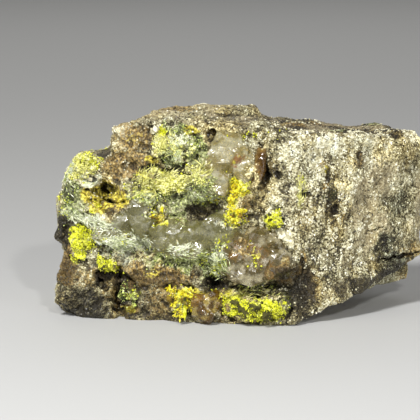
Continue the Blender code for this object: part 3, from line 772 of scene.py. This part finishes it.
def chip(name):
    """A cleaved block: a cube with its top pushed over and one corner broken off."""
    obj = start_from(bpy.ops.mesh.primitive_cube_add, size=1.0 * MM)
    bpy.ops.transform.translate(value=(0.25 * MM, 0.15 * MM, 0.0))
    bpy.ops.transform.resize(value=(0.75, 0.85, 1.0))
    bpy.ops.mesh.select_mode(type="VERT")
    bpy.ops.mesh.select_all(action="DESELECT")
    shape = bmesh.from_edit_mesh(obj.data)
    max(shape.verts, key=lambda v: v.co.x + v.co.y + v.co.z).select_set(True)
    bmesh.update_edit_mesh(obj.data)
    bpy.ops.mesh.bevel(offset=0.35 * MM, affect="VERTICES")
    return keep(obj, name)


def flake(name):
    """A thin six-sided plate, smaller above than below."""
    add = bpy.ops.mesh.primitive_cylinder_add
    obj = start_from(add, vertices=6, radius=0.5 * MM, depth=0.12 * MM)
    bpy.ops.transform.resize(value=(0.8, 0.9, 1.0))
    return keep(obj, name)


CRYSTAL = spire("crystal", 4, 0.5, 1.0, 0.35)
SPLINTER = spire("splinter", 3, 0.5, 1.0, 0.5)
CHIP = chip("chip")
FLAKE = flake("flake")


# %% Setting them over a surface
def corners_of(mesh):
    """The numbers of the three points of each triangle."""
    mesh.calc_loop_triangles()
    corners = np.empty(len(mesh.loop_triangles) * 3, dtype=np.int64)
    mesh.loop_triangles.foreach_get("vertices", corners)
    return corners.reshape(-1, 3)


def surface_of(spots, corners):
    """Each triangle's corners, normal and area, in millimetres."""
    triangles = spots[corners]
    across = np.cross(triangles[:, 1] - triangles[:, 0], triangles[:, 2] - triangles[:, 0])
    area = np.linalg.norm(across, axis=1) / 2.0
    return triangles, across / np.maximum(2.0 * area, 1e-9)[:, None], area


def draw_places(dice, surface, count, weight):
    """Random places on a surface and the normals there. weight favours some triangles."""
    triangles, normals, area = surface
    chance = area * weight
    picked = dice.choice(len(area), size=count, p=chance / chance.sum())
    u, v = dice.random(count), dice.random(count)
    over = u + v > 1.0
    u[over], v[over] = 1.0 - u[over], 1.0 - v[over]
    a, b, c = (triangles[picked, k] for k in range(3))
    return a + u[:, None] * (b - a) + v[:, None] * (c - a), normals[picked]


def strew(dice, surface, count, weight, tilt, size, spans, length=None):
    """Places, tilted ways and sizes of loose pieces. spans are the ranges of width, depth and length."""
    places, ways = draw_places(dice, surface, count, weight)
    ways = ways + tilt * dice.normal(size=ways.shape)
    wide = size * dice.uniform(*spans[0], count)
    deep = wide * dice.uniform(*spans[1], count)
    long = (wide if length is None else length) * dice.uniform(*spans[2], count)
    return places, ways, np.stack([wide, deep, long], axis=1)


def unit(ways):
    return ways / np.maximum(np.linalg.norm(ways, axis=1), 1e-9)[:, None]


def add_tips(mesh, values):
    """Stores how far each point is from its crystal's root, 0, to the tip, 1."""
    layer = mesh.attributes.new("tip", "FLOAT", "POINT")
    layer.data.foreach_set("value", np.asarray(values, dtype=np.float32))


def scatter(name, dice, template, places, ways, sizes, tips=True):
    """One object of copies of template. ways are their Z axes, sizes their (x, y, z) scales."""
    points, faces = template
    ways = unit(ways)
    side = unit(np.cross(ways, dice.normal(size=ways.shape)))
    third = np.cross(ways, side)
    scaled = points[None, :, :] * sizes[:, None, :]
    made = (
        places[:, None, :] + scaled[:, :, 0:1] * side[:, None, :]
        + scaled[:, :, 1:2] * third[:, None, :] + scaled[:, :, 2:3] * ways[:, None, :]
    )
    all_faces = [tuple(i + k * len(points) for i in face) for k in range(len(places)) for face in faces]
    mesh = bpy.data.meshes.new(name)
    above_floor = np.maximum(made.reshape(-1, 3), [-99.0, -99.0, 0.02])
    mesh.from_pydata((above_floor * MM).tolist(), [], all_faces)
    if tips:
        height = points[:, 2]
        add_tips(mesh, np.tile((height - height.min()) / (height.max() - height.min()), len(places)))
    return linked(name, mesh)


# %% [markdown]
# ## Quartz and amber
# Quartz has no cleavage: it breaks like bottle glass, in shells and splinters. The solid is rebuilt finely,
# dented by cells and thinned to hard facets. It is truly clear and absorbs a little colour inside, so what
# lies behind it does the rest. Amber grains are made the same way, in brown. The coats that cover the rock
# creep over the quartz too, on the facets where their masks are strong.

# %% Glassy finish
def glassy(name, tint, veil, stain, clearness, roughness, absorbed, density):
    """A clear mineral: refraction from the surface, colour from absorption inside it."""
    finish = new_finish(name, {"Transmission Weight": clearness, "IOR": 1.54})
    place = millimetres()
    soft = cloud(place, 1.6, 5.0)
    oxide = times(cloud(place, 2.6, 4.0), 2.2, channel(stored("coats"), 2))
    clear = blend(between(cloud(place, 0.7, 5.0), 0.46, 0.64), (*tint, 1.0), (*veil, 1.0))
    clear = blend(between(oxide, 1.5, 2.1), clear, (*stain, 1.0))
    gloss = between(soft, 0.4, 0.68, roughness, roughness + 0.28)
    wear(clear, gloss, times(soft, 0.08, tilted(place, cells(place, 1.4), 0.14)), 1.0, 0.6)
    inside = node("VolumeAbsorption", {"Color": (*absorbed, 1.0), "Density": density})
    tree.links.new(inside.outputs[0], tree.nodes["Material Output"].inputs["Volume"])
    return finish


# %% Broken glass: finish, absorption, and the breaks' cell size, depth and number of facets
GLASS_SKIN = 0.15


def shatter(obj, cell, depth, planes):
    """Gives obj the flat, angular breaks of quartz, then smaller faces for the coats to follow."""
    remesh(obj, GLASS_SKIN)
    bumps(obj, "VORONOI", cell, -depth, distance_metric="DISTANCE_SQUARED")
    bumps(obj, "CLOUDS", 1.1 * cell, 0.9 * depth)
    thin_out(obj, planes)
    change(obj, "SUBSURF", subdivision_type="SIMPLE", levels=2, render_levels=2)
    bumps(obj, "CLOUDS", 0.4, 0.07)
    apply_all(obj)


GLASS = {
    "quartz_band": (
        ("smoky quartz", (0.47, 0.44, 0.17), (0.85, 0.82, 0.52), (0.5, 0.33, 0.12), 0.8, 0.1),
        ((0.66, 0.63, 0.26), 160.0), (1.7, 0.7, 900),
    ),
    "quartz_tip": (
        ("milky quartz", (0.54, 0.45, 0.17), (0.92, 0.86, 0.54), (0.5, 0.24, 0.08), 0.72, 0.1),
        ((0.7, 0.6, 0.22), 180.0), (1.4, 0.6, 520),
    ),
    "quartz_foot": (
        ("rusty quartz", (0.26, 0.2, 0.07), (0.84, 0.75, 0.47), (0.44, 0.25, 0.06), 0.7, 0.08),
        ((0.54, 0.42, 0.22), 220.0), (1.3, 0.75, 560),
    ),
    "amber_drop": (
        ("amber grain", (0.2, 0.11, 0.01), (0.86, 0.68, 0.2), (0.4, 0.22, 0.02), 0.75, 0.06),
        ((0.52, 0.31, 0.05), 420.0), (0.9, 0.4, 160),
    ),
    "amber_blade": (
        ("brown grain", (0.18, 0.09, 0.015), (0.46, 0.28, 0.07), (0.22, 0.12, 0.02), 0.7, 0.06),
        ((0.42, 0.25, 0.07), 460.0), (0.9, 0.4, 80),
    ),
}
COATED, SEAT_FILL, SEAM_COAT = 0.66, 0.34, 0.45
rock_tree = BVHTree.FromObject(rock, bpy.context.evaluated_depsgraph_get())
glass_pieces = []
for node_name, (looks, absorption, breaks) in GLASS.items():
    stone = loose_copy(node_name, f"{node_name}_glass")
    swell(stone, SEAT_FILL)
    shatter(stone, *breaks)
    facet_above(stone, 0.1)
    masks = paint(stone.data)
    stone.data.materials.append(glassy(*looks, *absorption))
    stone.data.materials.append(rock_finish)
    near_rock = np.array([rock_tree.find_nearest(v.co)[3] for v in stone.data.vertices]) / MM
    seam = SEAM_COAT * (1.0 - smoothstep(0.15, 0.6, near_rock))
    crumbled = speckle(coordinates(stone.data), 0.55, 21)
    coats = np.maximum.reduce([masks["moss"], masks["frost"], 1.1 * masks["bloom"], 0.75 * masks["rust"]])
    coats = np.maximum(coats * (0.0 if node_name.startswith("amber") else 1.0), 1.6 * masks["covered"])
    cover = (coats + seam + 0.55 * crumbled)[corners_of(stone.data)].mean(axis=1)
    by_face = np.zeros(len(stone.data.polygons))
    owners = np.empty(len(cover), dtype=np.int64)
    stone.data.loop_triangles.foreach_get("polygon_index", owners)
    np.maximum.at(by_face, owners, cover)
    stone.data.polygons.foreach_set("material_index", (by_face > COATED).astype(np.int32))
    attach(stone, "root")
    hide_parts(node_name)
    glass_pieces.append((stone, masks))
    print(stone.name, len(by_face), "facets,", round(float((by_face > COATED).mean()), 2), "coated")

# %% [markdown]
# ## Pottsite
# Pottsite grows as crowds of tiny four-sided crystals, bright lemon to greenish yellow, on a massive crust.
# Each crystal carries a number from 0 at its root to 1 at its tip, and the finish turns that number into
# colour: painted shade, dark and greenish, at the root and bright yellow at the tip. The crust's hollows and
# cracks get 0 too.

# %% Yellow finishes: four shades, the painted shade at the root, roughness
def yellow(name, shades, root, roughness):
    """Pottsite: bright crystals, each a little different, painted darker and greener towards the root as shade.
    """
    finish = new_finish(name, {"IOR": 1.6})
    place = millimetres()
    mix = times(channel(cells(place, 3.6)["Color"]), 0.5, -0.2)
    mix = times(cloud(place, 1.5, 4.0), 0.9, mix)
    tip = stored("tip", "Fac")
    colour = ramp(mix, list(zip((0.15, 0.4, 0.65, 0.9), shades)))
    # Painted shade: towards a crystal's root, and in the crust's hollows and cracks, the colour darkens to the
    # root colour.
    colour = blend(between(tip, 0.52, 0.12), colour, (*root, 1.0))
    wear(colour, between(tip, 0.5, 0.1, roughness, 0.95), cloud(place, 9.0), 0.05, 0.6)
    return finish


LEMON = yellow("lemon pottsite", [
    (0.4, 0.42, 0.008), (0.66, 0.68, 0.014), (0.78, 0.79, 0.03), (0.92, 0.93, 0.24),
], (0.05, 0.046, 0.002), 0.32)
STRAW = yellow("straw pottsite", [
    (0.34, 0.33, 0.05), (0.68, 0.66, 0.17), (0.86, 0.84, 0.34), (0.95, 0.93, 0.66),
], (0.26, 0.26, 0.07), 0.4)
GOLDEN = yellow("golden pottsite", [
    (0.34, 0.24, 0.004), (0.72, 0.6, 0.01), (0.86, 0.82, 0.03), (0.95, 0.93, 0.22),
], (0.2, 0.13, 0.006), 0.32)
GREENISH = yellow("greenish pottsite", [
    (0.18, 0.24, 0.02), (0.42, 0.5, 0.07), (0.68, 0.76, 0.22), (0.84, 0.89, 0.48),
], (0.04, 0.06, 0.008), 0.4)
FIBROUS = yellow("pale green fibres", [
    (0.2, 0.25, 0.07), (0.5, 0.57, 0.23), (0.74, 0.8, 0.44), (0.92, 0.94, 0.72),
], (0.12, 0.16, 0.05), 0.45)
SILKY = yellow("silky fibres", [
    (0.58, 0.62, 0.36), (0.82, 0.85, 0.58), (0.93, 0.95, 0.77), (0.97, 0.98, 0.9),
], (0.42, 0.46, 0.24), 0.4)

# %% The crusts: finish, crystals per square millimetre, width, length, clod size, share left bare
HABITS = {
    "pottsite_foot_crust": (LEMON, 9.0, 0.15, 0.17, 1.5, 0.0),
    "pottsite_foot_tuft": (GOLDEN, 11.0, 0.15, 0.42, 0.9, 0.1),
    "pottsite_foot_nest": (GREENISH, 6.0, 0.15, 0.24, 0.7, 0.74),
    "pottsite_left_patch": (LEMON, 5.0, 0.16, 0.14, 2.2, 0.02),
    "pottsite_low_left_patch": (LEMON, 8.0, 0.15, 0.18, 0.8, 0.48),
    "pottsite_shoulder_cap": (STRAW, 11.0, 0.12, 0.15, 1.1, 0.05),
    "pottsite_upper_band": (STRAW, 9.0, 0.12, 0.4, 0.9, 0.3),
    "pottsite_brow_crust": (STRAW, 6.0, 0.16, 0.26, 0.8, 0.68),
    "pottsite_seam": (GOLDEN, 9.0, 0.15, 0.18, 1.3, 0.06),
    "pottsite_fleck": (LEMON, 9.0, 0.15, 0.18, 1.0, 0.05),
    "pottsite_hollow_fleck": (GOLDEN, 5.0, 0.15, 0.18, 0.8, 0.35),
}


CRUST_SWELL, CRUST_SKIN, CRACK_DEPTH = 0.22, 0.1, 0.7


def crust_body(node_name, clod, triangles):
    """The massive part of a crust: clods with cracks between them."""
    body = loose_copy(node_name, f"{node_name}_crystals")
    swell(body, CRUST_SWELL)
    remesh(body, CRUST_SKIN)
    bumps(body, "VORONOI", clod, 1.5, stretch=(1.7, 1.0, 0.6), middle=0.26, weight_1=-1.0, weight_2=1.0)
    bumps(body, "CLOUDS", 0.9, 0.7)
    bumps(body, "CLOUDS", 0.32, 0.34)
    thin_out(body, triangles)
    return body


PRISM_SPANS = ((0.5, 1.5), (0.5, 1.0), (0.5, 1.4))
for number, (node_name, (finish, crowd, width, length, clod, bare)) in enumerate(HABITS.items()):
    dice = np.random.default_rng(100 + number)
    largest = node_name == "pottsite_foot_crust"
    body = crust_body(node_name, clod, 16000 if largest else 8000)
    paint(body.data)
    places = coordinates(body.data)
    lie = relief(proud_of(body.data, places, 16))
    slanted = places * np.array([0.42, 0.42, 1.15]) + np.array([0.0, 0.0, 0.35]) * places[:, :1]
    wander = np.abs(speckle(slanted, 1.0, 70 + number) + 0.15 * speckle(places, 0.4, 90))
    split = (1.0 - smoothstep(0.03, 0.12, wander)) * (1.0 if largest else 0.35)
    places -= CRACK_DEPTH * split[:, None] * point_rows(body.data, "normal")
    body.data.vertices.foreach_set("co", (places * MM).ravel())
    body.data.update()
    # The crust's number is its relief, 0 in the cracks, so its hollows and cracks are painted with the root's
    # shade.
    add_tips(body.data, np.clip(lie, 0.0, 1.0) * (1.0 - split))
    corners = corners_of(body.data)
    surface = surface_of(coordinates(body.data), corners)
    middles = surface[0].mean(axis=1)
    up = (middles[:, 2] - middles[:, 2].mean()) / middles[:, 2].std()
    patchy = speckle(middles, 0.75, 60 + number) + 0.16 * up
    grown = patchy > np.quantile(patchy, bare)
    body.data.materials.append(finish)
    body.data.materials.append(rock_finish)
    body.data.polygons.foreach_set("material_index", np.where(grown, 0, 1).astype(np.int32))
    risen = neighbour_mean(body.data, lie[:, None], 3)[:, 0][corners].mean(axis=1)
    out = (surface[1][:, 1] < 0.35) * np.where(grown, 1.0, 0.08) * smoothstep(0.3, 0.6, risen)
    out *= 1.0 - 0.84 * smoothstep(0.4, 0.7, split[corners].mean(axis=1))
    count = int(crowd * (surface[2] * out).sum())
    prisms = strew(dice, surface, count, out, 0.5, width, PRISM_SPANS, length)
    crystals = scatter(f"{node_name} prisms", dice, CRYSTAL, *prisms)
    crystals.data.materials.append(finish)
    pick(body, crystals)
    bpy.ops.object.join()
    facet_above(body, 0.05)
    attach(body, "root")
    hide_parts(node_name)
    print(body.name, count, "crystals,", len(body.data.polygons), "faces")

# %% [markdown]
# ## Dust, fibres and loose grains
# Round each crust, smaller crystals thin out over the rock like frost round a window. Pale fibres lie in
# sprays over the shoulder and round the quartz, each spray combed one way. The granular end gets feldspar
# chips and mica flakes, whose flat faces glitter.

# %% The ground that loose pieces lie on
ground_points, ground_corners, ground_masks, glass_share = [], [], [], []
for obj, masks in [(rock, rock_masks)] + glass_pieces:
    ground_corners.append(corners_of(obj.data) + sum(len(points) for points in ground_points))
    ground_points.append(coordinates(obj.data))
    ground_masks.append(masks)
    glass_share.append(np.full(len(obj.data.vertices), 0.0 if obj is rock else 1.0))
spots = np.concatenate(ground_points)
corners = np.concatenate(ground_corners)
on_glass = np.concatenate(glass_share)
lie_of = {key: np.concatenate([masks[key] for masks in ground_masks]) for key in rock_masks}
ground = surface_of(spots, corners)


def ground_weight(values):
    """A mask on the ground's points, as the mean over each triangle."""
    return values[corners].mean(axis=1)


print("the ground has", len(corners), "triangles")

# %% Loose pieces over the rock: name, finish, mask, count, size, seed
DUST_SPANS = ((0.4, 1.4), (0.5, 1.0), (0.7, 1.6))


def lay(name, template, finish, slot, places, ways, sizes, dice):
    """Makes one piece of all these copies, and adds it to the specimen."""
    piece = scatter(name, dice, template, places, ways, sizes, tips=slot == "pottsite")
    piece.data.materials.append(finish)
    piece.data.shade_flat()
    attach(piece, "root")
    print(name, len(places), "copies,", len(piece.data.polygons), "faces")


def sow(name, finish, mask, count, size, seed, template=CRYSTAL, slot="pottsite", tilt=0.6, spans=DUST_SPANS):
    """Strews copies of a template where a mask is strong."""
    dice = np.random.default_rng(seed)
    lay(name, template, finish, slot, *strew(dice, ground, count, ground_weight(mask), tilt, size, spans), dice)


patchiness = smoothstep(-0.2, 0.35, speckle(spots, 0.9, 41))
golden_side = zone_mask(spots, [(-0.4, 15.0, 2.2, 4.0, 1.0), (-6.5, 3.0, 3.0, 2.6, 1.0)])
creamy_side = zone_mask(spots, [
    (-9.0, 16.8, 4.0, 1.9, 1.0), (-5.0, 17.8, 2.6, 1.6, 1.0), (-8.4, 21.2, 2.4, 1.7, 1.0),
    (-19.4, 17.6, 2.6, 2.6, 0.8),
])
yellow_side = (1.0 - golden_side) * (1.0 - creamy_side)
brow_dot = zone_mask(spots, [(-9.3, 22.8, 0.42, 0.38, 1.0)]) * lie_of["facing"]
in_bloom = lie_of["bloom"] ** 2 * patchiness
sow("pottsite_dust", LEMON, in_bloom * yellow_side, 3800, 0.16, 201)
sow("pottsite_pale_dust", STRAW, in_bloom * creamy_side, 3000, 0.15, 204)
sow("brow_dot", LEMON, brow_dot, 150, 0.2, 205)
sow("pottsite_gold_dust", GOLDEN, in_bloom * golden_side, 900, 0.17, 202)
sow("pottsite_green_dust", GREENISH, lie_of["moss"] ** 2 * patchiness * lie_of["facing"], 2200, 0.13, 203)

# %% Sprays of fibres: x, z, half width, half height, angle, spread, count, length
SPRAYS = {
    "pale_fibres": (FIBROUS, [
        (-20.4, 16.8, 1.2, 1.2, -35, 35, 120, 0.5), (-20.6, 13.2, 1, 1, -25, 22, 110, 0.8),
        (-14.2, 9, 3, 0.9, 12, 25, 200, 0.8), (-2.6, 7.2, 1.5, 1.3, 130, 25, 300, 0.8),
        (-6.8, 8.4, 2.4, 0.5, 5, 20, 160, 0.7), (-8.4, 20.2, 1, 1, 70, 25, 160, 0.6),
        (-4.6, 15.4, 1.8, 0.9, 20, 25, 150, 0.7),
    ]),
    "silky_fibres": (SILKY, [
        (-19.4, 12.1, 1.8, 0.6, -14, 14, 170, 1.1), (-21, 15.6, 0.7, 1.6, -50, 25, 60, 0.5),
        (-14, 9.7, 3.2, 0.9, 12, 35, 1100, 0.55), (-17, 11.6, 1.8, 0.6, 8, 18, 200, 0.9),
        (-2.6, 8.3, 1.4, 0.9, 130, 35, 160, 0.55), (-6.8, 9.1, 2.2, 0.5, 5, 20, 160, 0.6),
        (-7.4, 21.8, 1, 0.6, 100, 30, 100, 0.5),
    ]),
    "straw_fibres": (STRAW, [
        (-9.6, 17.1, 2.5, 0.8, 18, 16, 420, 1.1), (-4.4, 18.4, 1.5, 0.8, 42, 12, 230, 1.2),
        (-11.4, 15.6, 1.8, 0.6, 16, 22, 130, 0.8), (7.3, 16, 0.4, 1.6, 75, 20, 90, 0.7),
        (-8.8, 21.2, 1.1, 1.2, 110, 30, 190, 0.8), (1.4, 3.9, 2.6, 0.4, 5, 20, 90, 0.8),
        (-19.2, 17.8, 1.4, 1, 120, 30, 200, 0.5),
    ]),
}
for number, (name, (finish, sprays)) in enumerate(SPRAYS.items()):
    dice = np.random.default_rng(300 + number)
    rows = []
    for x, z, wide, tall, angle, spread, count, length in sprays:
        patch = zone_mask(spots, [(x, z, wide, tall, 1.0)]) * lie_of["facing"] * (1.0 - 0.9 * lie_of["dark"])
        places, normals = draw_places(dice, ground, count, ground_weight(patch + 1e-12))
        turned = np.radians(angle + spread * dice.normal(size=count))
        comb = np.stack([np.cos(turned), np.zeros(count), np.sin(turned)], axis=1)
        flat = comb - normals * np.einsum("ij,ij->i", comb, normals)[:, None]
        ways = unit(flat) + normals * dice.uniform(0.05, 0.5, count)[:, None]
        thick = dice.uniform(0.05, 0.1, count)
        sizes = np.stack([thick, thick, length * dice.uniform(0.4, 1.1, count)], axis=1)
        rows.append((places, ways, sizes))
    lay(name, SPLINTER, finish, "pottsite", *(np.concatenate(a) for a in zip(*rows)), dice)


# %% The prism that hangs from the tuft
prism_root = np.array([[-6.6, float(front_depth(-6.6, 2.9)) - 1.3, 2.9]])
prism_way, prism_size = np.array([[0.03, -0.12, -1.0]]), np.array([[0.5, 0.42, 2.1]])
lay("hanging_prism", CRYSTAL, LEMON, "pottsite", prism_root, prism_way, prism_size, np.random.default_rng(350))

# %% Grain finishes
def mineral(name, stops, roughness):
    """Loose grains, each with its own shade."""
    finish = new_finish(name, {})
    place = millimetres()
    mix = times(channel(cells(place, 3.1)["Color"]), 0.6, -0.1)
    mix = times(cloud(place, 1.2, 4.0), 0.6, mix)
    gloss = between(cloud(place, 5.0), 0.35, 0.65, roughness, roughness + 0.3)
    wear(ramp(mix, stops), gloss, cloud(place, 7.0), 0.04, 0.5)
    return finish


FELDSPAR = mineral("feldspar grains", [
    (0.15, (0.24, 0.2, 0.11)), (0.4, (0.46, 0.42, 0.25)), (0.65, (0.74, 0.71, 0.51)), (0.9, (0.94, 0.92, 0.79)),
], 0.22)
MICA = mineral("dark mica", [
    (0.15, (0.01, 0.009, 0.007)), (0.45, (0.035, 0.03, 0.02)), (0.7, (0.1, 0.085, 0.055)),
    (0.9, (0.22, 0.2, 0.15)),
], 0.12)

# %% Feldspar chips and mica flakes
x, z = spots[:, 0], spots[:, 2]
sugary = smoothstep(2.0, 7.0, x + 1.5 * speckle(spots, 1.4, 51)) * (1.0 - smoothstep(14.0, 19.0, x))
in_front = 1.0 - smoothstep(1.5, 6.0, behind_side(spots))
clump = speckle(spots * np.array([1.0, 1.0, 0.6]), 0.9, 52)
stained = lie_of["bloom"] + lie_of["dark"] + 0.8 * lie_of["rust"] + 0.5 * lie_of["tan"]
bare_spot = zone_mask(spots, [(1.4, 2.4, 5.0, 2.2, 1.0)])
# The pale zones, partly a painted highlight, draw feldspar chips. The dark zones, partly painted shade, draw
# mica flakes into that shade.
pale_weight = (0.12 + 1.6 * sugary * in_front + 1.5 * lie_of["pale"]) * smoothstep(-0.15, 0.25, clump)
pale_weight *= 1.0 - 0.85 * np.clip(stained, 0.0, 1.0)
pale_weight *= 1.0 - 0.9 * smoothstep(0.35, 0.7, np.maximum(lie_of["dark"], bare_spot))
dark_weight = (0.25 + 0.9 * sugary * in_front + 1.6 * lie_of["dark"]) * smoothstep(-0.15, 0.25, -clump)
dark_weight *= 1.0 - 0.9 * np.clip(lie_of["bloom"] + 0.6 * lie_of["moss"], 0.0, 1.0)
off_table = smoothstep(0.1, 0.4, z) * (1.0 - 0.85 * on_glass)
grain = {"slot": "rock", "tilt": 0.7, "spans": ((0.45, 1.35), (0.6, 1.0), (0.5, 1.0))}
sow("feldspar_chips", FELDSPAR, pale_weight * off_table, 9500, 0.19, 401, template=CHIP, **grain)
sow("mica_flakes", MICA, dark_weight * off_table, 6500, 0.24, 402, template=FLAKE, **grain)

# %% Single grains: x, z, sizes across, along and out, turn
SINGLE_GRAINS = [
    (5.4, 10.5, 1.4, 1.6, 0.8, 20.0), (-9.9, 23.2, 0.9, 0.7, 0.7, -30.0), (-10.4, 23.0, 0.5, 0.6, 0.5, 60.0),
    (-18.1, 16.9, 0.6, 0.45, 0.35, 10.0), (6.2, 9.6, 0.6, 0.7, 0.4, 70.0),
]
x, z, wide, tall, out, turn = np.array(SINGLE_GRAINS).T
places = np.stack([x, front_depth(x, z) - 0.1, z], axis=1)
ways = np.stack([0.3 * np.sin(turn), -np.ones(len(x)), 0.3 * np.cos(turn)], axis=1)
sizes = np.stack([wide, tall, out], axis=1)
lay("single_grains", CHIP, FELDSPAR, "rock", places, ways, sizes, np.random.default_rng(403))

# %% [markdown]
# ## Sizes and the last line
# The sizes of the solids and of the dressed specimen are gathered, and the specimen's are printed.

# %% Sizes
visual_low, visual_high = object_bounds()
sizes = {"cad": [list(cad_low), list(cad_high)], "visual": [list(visual_low), list(visual_high)]}
print("the specimen measures", [round((b - a) / MM, 1) for a, b in zip(visual_low, visual_high)], "mm")
